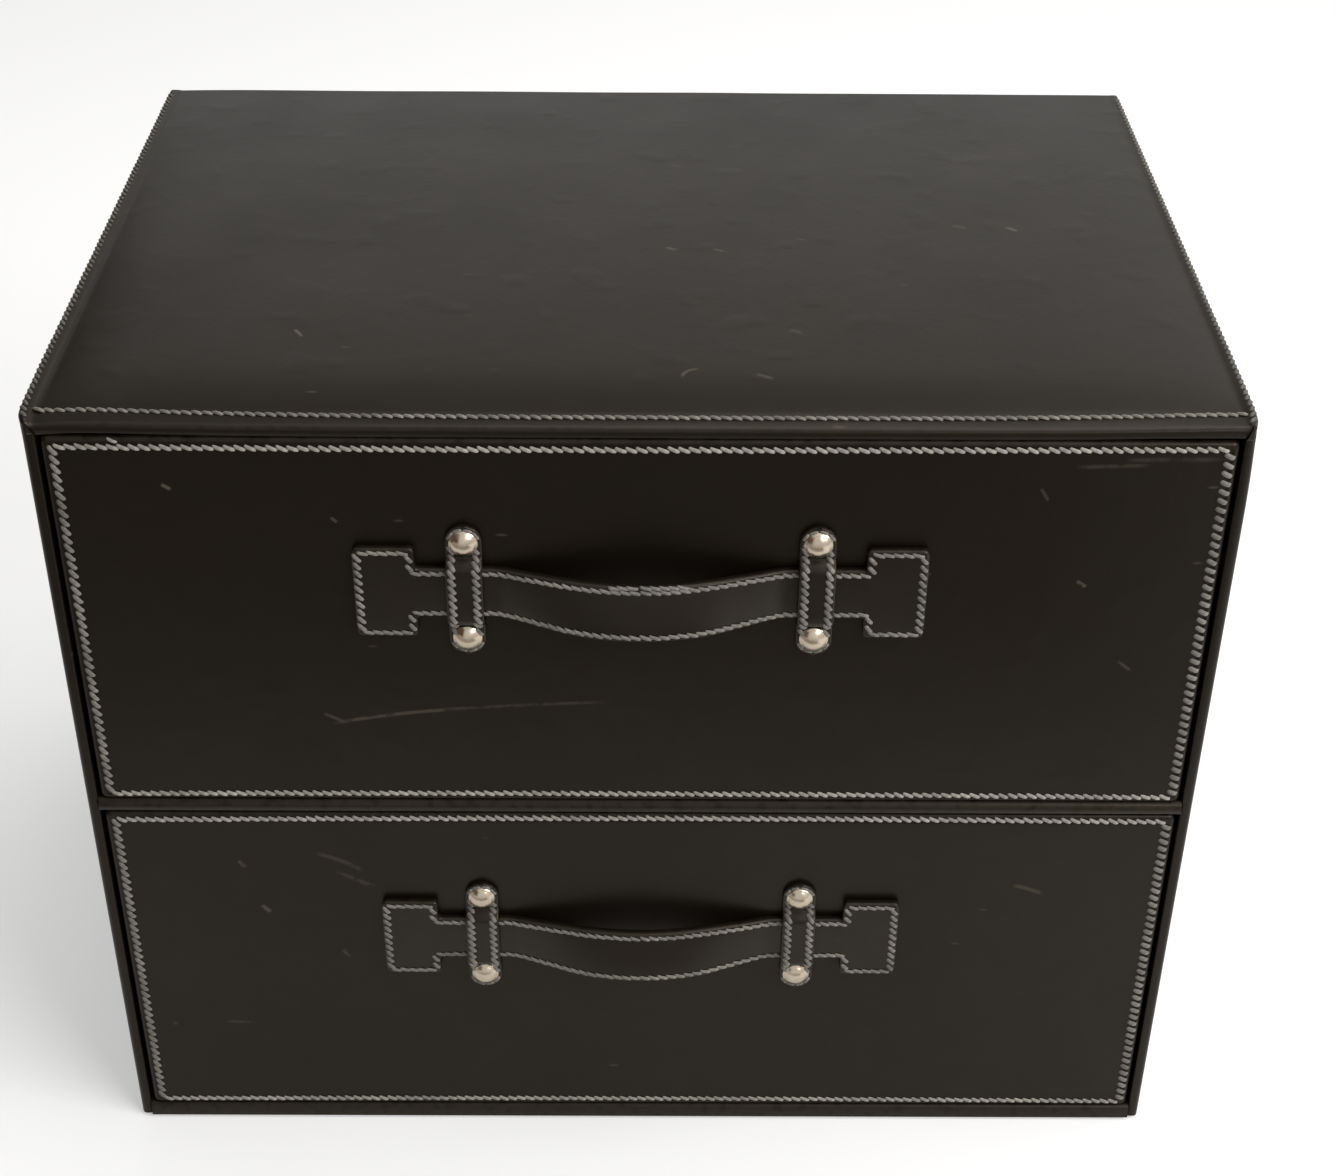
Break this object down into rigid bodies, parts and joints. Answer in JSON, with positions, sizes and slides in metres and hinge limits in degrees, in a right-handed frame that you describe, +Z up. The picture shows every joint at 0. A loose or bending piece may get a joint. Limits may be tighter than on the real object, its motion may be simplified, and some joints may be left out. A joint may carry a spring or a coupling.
{
  "type": "drawer storage box",
  "caption": "Upright storage box with stacked sliding drawers, covered in dark stitched leather-look sheet, each drawer pulled by a bowed strap handle that slides under riveted keepers.",
  "frame": {"origin": "centre of the underside of the case, on the surface the box stands on", "axes": "+X to the right seen from the front, drawers open towards -Y, +Z up"},
  "size_m": [0.36, 0.264, 0.29],
  "materials": {
    "cover": "dark brown leather-look sheet, low sheen, fine grain",
    "strap": "dark brown doubled leather-look strap, stitched along its edges",
    "board": "fibreboard faced with dark paper",
    "felt": "dark felt",
    "rivet": "polished nickel"
  },
  "bodies": {
    "case": {"base_felt": "felt", "base_board": "board", "base_cover": "cover", "left_side_board": "board", "right_side_board": "board", "top_board": "board", "back_board": "board", "shelf_board": "board", "shelf_cover": "cover", "outer_cover": "cover", "back_cover": "cover"},
    "upper_drawer": {"upper_front_board": "board", "upper_front_cover": "cover", "upper_left_side": "board", "upper_right_side": "board", "upper_drawer_back": "board", "upper_drawer_bottom": "board", "upper_drawer_lining": "felt", "upper_left_keeper": "strap", "upper_right_keeper": "strap", "upper_handle_rivets": "rivet"},
    "upper_grip": {"upper_handle_grip": "strap"},
    "upper_left_end": {"upper_handle_left_end": "strap"},
    "upper_right_end": {"upper_handle_right_end": "strap"},
    "lower_drawer": {"lower_front_board": "board", "lower_front_cover": "cover", "lower_left_side": "board", "lower_right_side": "board", "lower_drawer_back": "board", "lower_drawer_bottom": "board", "lower_drawer_lining": "felt", "lower_left_keeper": "strap", "lower_right_keeper": "strap", "lower_handle_rivets": "rivet"},
    "lower_grip": {"lower_handle_grip": "strap"},
    "lower_left_end": {"lower_handle_left_end": "strap"},
    "lower_right_end": {"lower_handle_right_end": "strap"}
  },
  "joints": [
    {"name": "upper_drawer_slide", "type": "slide", "parent": "case", "child": "upper_drawer", "axis": [0, -1, 0], "range_m": [0, 0.2]},
    {"name": "upper_grip_pull", "type": "slide", "parent": "upper_drawer", "child": "upper_grip", "axis": [0, -1, 0], "range_m": [0, 0.016]},
    {"name": "upper_left_end_slide", "type": "slide", "parent": "upper_grip", "child": "upper_left_end", "axis": [0.4903, 0.8716, 0], "range_m": [0, 0.01836]},
    {"name": "upper_right_end_slide", "type": "slide", "parent": "upper_grip", "child": "upper_right_end", "axis": [-0.4903, 0.8716, 0], "range_m": [0, 0.01836]},
    {"name": "lower_drawer_slide", "type": "slide", "parent": "case", "child": "lower_drawer", "axis": [0, -1, 0], "range_m": [0, 0.2]},
    {"name": "lower_grip_pull", "type": "slide", "parent": "lower_drawer", "child": "lower_grip", "axis": [0, -1, 0], "range_m": [0, 0.016]},
    {"name": "lower_left_end_slide", "type": "slide", "parent": "lower_grip", "child": "lower_left_end", "axis": [0.4903, 0.8716, 0], "range_m": [0, 0.01836]},
    {"name": "lower_right_end_slide", "type": "slide", "parent": "lower_grip", "child": "lower_right_end", "axis": [-0.4903, 0.8716, 0], "range_m": [0, 0.01836]}
  ],
  "couplings": [
    {"joint": "upper_left_end_slide", "follows": "upper_grip_pull", "ratio": 1.1473},
    {"joint": "upper_right_end_slide", "follows": "upper_grip_pull", "ratio": 1.1473},
    {"joint": "lower_left_end_slide", "follows": "lower_grip_pull", "ratio": 1.1473},
    {"joint": "lower_right_end_slide", "follows": "lower_grip_pull", "ratio": 1.1473}
  ]
}
